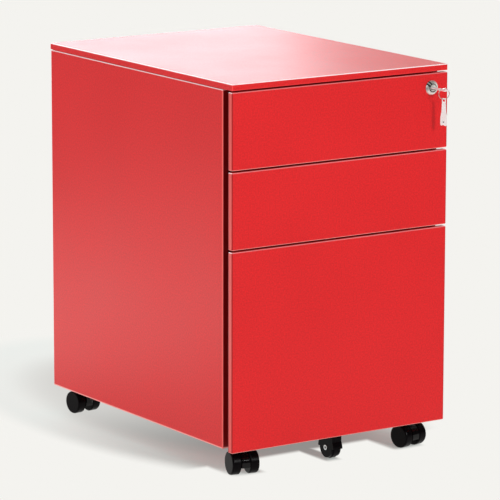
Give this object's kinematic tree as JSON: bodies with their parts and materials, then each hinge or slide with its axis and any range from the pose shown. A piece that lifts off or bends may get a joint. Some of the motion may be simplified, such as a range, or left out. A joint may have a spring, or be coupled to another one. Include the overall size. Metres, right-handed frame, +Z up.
{
  "type": "mobile drawer pedestal",
  "caption": "Steel filing pedestal on castors: shallow drawers over a deep file drawer, full-width fronts pulled by side finger recesses, cam lock with key.",
  "frame": {"origin": "on the floor, under the middle of the case (the key stands out in front of it)", "axes": "+Z up, -Y out of the drawer fronts, +X to the right of someone facing the drawers"},
  "size_m": [0.39, 0.56, 0.596],
  "materials": {
    "red_powder_coat": "fine-textured satin powder coat",
    "black_nylon": "moulded nylon",
    "black_gloss": "glossy moulding",
    "chrome_plate": "bright chrome plate",
    "black_tray": "grained plastic",
    "zinc_plate": "bright zinc plate"
  },
  "bodies": {
    "cabinet": {"top_cover": "red_powder_coat", "top_deck": "red_powder_coat", "left_side_panel": "red_powder_coat", "right_side_panel": "red_powder_coat", "back_panel": "red_powder_coat", "base_pan": "red_powder_coat", "slide_uprights": "zinc_plate", "cabinet_screws": "zinc_plate", "castor_sockets": "zinc_plate", "top_slide_outers": "zinc_plate", "middle_slide_outers": "zinc_plate", "file_slide_outers": "zinc_plate", "lock_bar_guides": "zinc_plate"},
    "top_drawer": {"top_drawer_front": "red_powder_coat", "top_drawer_liner": "red_powder_coat", "top_drawer_box": "red_powder_coat", "top_slide_inners": "zinc_plate", "pencil_tray": "black_tray", "lock_barrel": "chrome_plate", "lock_nut": "zinc_plate"},
    "middle_drawer": {"middle_drawer_front": "red_powder_coat", "middle_drawer_liner": "red_powder_coat", "middle_drawer_box": "red_powder_coat", "middle_slide_inners": "zinc_plate"},
    "file_drawer": {"file_drawer_front": "red_powder_coat", "file_drawer_liner": "red_powder_coat", "file_drawer_box": "red_powder_coat", "file_slide_inners": "zinc_plate", "hanging_file_rails": "zinc_plate", "anti_tilt_fork": "black_gloss", "anti_tilt_axle": "zinc_plate"},
    "top_cages": {"top_slide_cages": "zinc_plate"},
    "middle_cages": {"middle_slide_cages": "zinc_plate"},
    "file_outer_cages": {"file_slide_outer_cages": "zinc_plate"},
    "file_middles": {"file_slide_middles": "zinc_plate"},
    "file_inner_cages": {"file_slide_inner_cages": "zinc_plate"},
    "lock_cylinder": {"lock_plug": "chrome_plate", "lock_cam": "zinc_plate", "lock_key": "chrome_plate"},
    "ring": {"key_ring": "chrome_plate"},
    "spare": {"spare_key": "chrome_plate"},
    "bar": {"lock_bar": "zinc_plate"},
    "tilt_wheel": {"anti_tilt_wheel": "black_nylon"},
    "front_left_castor": {"front_left_castor_hood": "black_gloss", "front_left_castor_axle": "zinc_plate"},
    "front_left_wheel_a": {"front_left_castor_wheel_a": "black_nylon"},
    "front_left_wheel_b": {"front_left_castor_wheel_b": "black_nylon"},
    "front_right_castor": {"front_right_castor_hood": "black_gloss", "front_right_castor_axle": "zinc_plate"},
    "front_right_wheel_a": {"front_right_castor_wheel_a": "black_nylon"},
    "front_right_wheel_b": {"front_right_castor_wheel_b": "black_nylon"},
    "rear_left_castor": {"rear_left_castor_hood": "black_gloss", "rear_left_castor_axle": "zinc_plate"},
    "rear_left_wheel_a": {"rear_left_castor_wheel_a": "black_nylon"},
    "rear_left_wheel_b": {"rear_left_castor_wheel_b": "black_nylon"},
    "rear_right_castor": {"rear_right_castor_hood": "black_gloss", "rear_right_castor_axle": "zinc_plate"},
    "rear_right_wheel_a": {"rear_right_castor_wheel_a": "black_nylon"},
    "rear_right_wheel_b": {"rear_right_castor_wheel_b": "black_nylon"}
  },
  "joints": [
    {"name": "top_drawer_slide", "type": "slide", "parent": "cabinet", "child": "top_drawer", "axis": [0, -1, 0], "range_m": [0, 0.33]},
    {"name": "middle_drawer_slide", "type": "slide", "parent": "cabinet", "child": "middle_drawer", "axis": [0, -1, 0], "range_m": [0, 0.33]},
    {"name": "file_drawer_slide", "type": "slide", "parent": "cabinet", "child": "file_drawer", "axis": [0, -1, 0], "range_m": [0, 0.42]},
    {"name": "top_cage_slide", "type": "slide", "parent": "cabinet", "child": "top_cages", "axis": [0, -1, 0], "range_m": [0, 0.165]},
    {"name": "middle_cage_slide", "type": "slide", "parent": "cabinet", "child": "middle_cages", "axis": [0, -1, 0], "range_m": [0, 0.165]},
    {"name": "file_outer_cage_slide", "type": "slide", "parent": "cabinet", "child": "file_outer_cages", "axis": [0, -1, 0], "range_m": [0, 0.105]},
    {"name": "file_middle_slide", "type": "slide", "parent": "cabinet", "child": "file_middles", "axis": [0, -1, 0], "range_m": [0, 0.21]},
    {"name": "file_inner_cage_slide", "type": "slide", "parent": "cabinet", "child": "file_inner_cages", "axis": [0, -1, 0], "range_m": [0, 0.315]},
    {"name": "lock_turn", "type": "hinge", "parent": "top_drawer", "child": "lock_cylinder", "pos_m": [0.1645, -0.26, 0.562], "axis": [0, 1, 0], "range_deg": [0, 90]},
    {"name": "key_ring_turn", "type": "hinge", "parent": "lock_cylinder", "child": "ring", "pos_m": [0.169, -0.2857, 0.562], "axis": [0, -1, 0], "range_deg": [0, 90]},
    {"name": "spare_key_swing", "type": "hinge", "parent": "ring", "child": "spare", "pos_m": [0.169, -0.2857, 0.5464], "axis": [0.9659, -0.2588, 0], "range_deg": [-30, 30]},
    {"name": "lock_bar_slide", "type": "slide", "parent": "cabinet", "child": "bar", "axis": [0, 0, -1], "range_m": [0, 0.01131]},
    {"name": "front_left_swivel", "type": "hinge", "parent": "cabinet", "child": "front_left_castor", "pos_m": [-0.151, -0.211, 0.018], "axis": [0, 0, 1], "continuous": true},
    {"name": "front_left_wheel_a_spin", "type": "hinge", "parent": "front_left_castor", "child": "front_left_wheel_a", "pos_m": [-0.15402, -0.22569, 0.018], "axis": [0.9796, -0.2011, 0], "continuous": true},
    {"name": "front_left_wheel_b_spin", "type": "hinge", "parent": "front_left_castor", "child": "front_left_wheel_b", "pos_m": [-0.15402, -0.22569, 0.018], "axis": [0.9796, -0.2011, 0], "continuous": true},
    {"name": "front_right_swivel", "type": "hinge", "parent": "cabinet", "child": "front_right_castor", "pos_m": [0.151, -0.211, 0.018], "axis": [0, 0, 1], "continuous": true},
    {"name": "front_right_wheel_a_spin", "type": "hinge", "parent": "front_right_castor", "child": "front_right_wheel_a", "pos_m": [0.15335, -0.22581, 0.018], "axis": [0.9877, 0.1564, 0], "continuous": true},
    {"name": "front_right_wheel_b_spin", "type": "hinge", "parent": "front_right_castor", "child": "front_right_wheel_b", "pos_m": [0.15335, -0.22581, 0.018], "axis": [0.9877, 0.1564, 0], "continuous": true},
    {"name": "rear_left_swivel", "type": "hinge", "parent": "cabinet", "child": "rear_left_castor", "pos_m": [-0.151, 0.223, 0.018], "axis": [0, 0, 1], "continuous": true},
    {"name": "rear_left_wheel_a_spin", "type": "hinge", "parent": "rear_left_castor", "child": "rear_left_wheel_a", "pos_m": [-0.15249, 0.23793, 0.018], "axis": [-0.9951, -0.0993, 0], "continuous": true},
    {"name": "rear_left_wheel_b_spin", "type": "hinge", "parent": "rear_left_castor", "child": "rear_left_wheel_b", "pos_m": [-0.15249, 0.23793, 0.018], "axis": [-0.9951, -0.0993, 0], "continuous": true},
    {"name": "rear_right_swivel", "type": "hinge", "parent": "cabinet", "child": "rear_right_castor", "pos_m": [0.151, 0.223, 0.018], "axis": [0, 0, 1], "continuous": true},
    {"name": "rear_right_wheel_a_spin", "type": "hinge", "parent": "rear_right_castor", "child": "rear_right_wheel_a", "pos_m": [0.15488, 0.23749, 0.018], "axis": [-0.9659, 0.2588, 0], "continuous": true},
    {"name": "rear_right_wheel_b_spin", "type": "hinge", "parent": "rear_right_castor", "child": "rear_right_wheel_b", "pos_m": [0.15488, 0.23749, 0.018], "axis": [-0.9659, 0.2588, 0], "continuous": true},
    {"name": "anti_tilt_spin", "type": "hinge", "parent": "file_drawer", "child": "tilt_wheel", "pos_m": [0.01, -0.221, 0.0175], "axis": [1, 0, 0], "continuous": true}
  ],
  "couplings": [
    {"joint": "top_cage_slide", "follows": "top_drawer_slide", "ratio": 0.5},
    {"joint": "middle_cage_slide", "follows": "middle_drawer_slide", "ratio": 0.5},
    {"joint": "file_outer_cage_slide", "follows": "file_drawer_slide", "ratio": 0.25},
    {"joint": "file_middle_slide", "follows": "file_drawer_slide", "ratio": 0.5},
    {"joint": "file_inner_cage_slide", "follows": "file_drawer_slide", "ratio": 0.75},
    {"joint": "lock_turn", "follows": "lock_bar_slide", "rad_per_m": 138.84},
    {"joint": "key_ring_turn", "follows": "lock_bar_slide", "rad_per_m": 138.84}
  ]
}
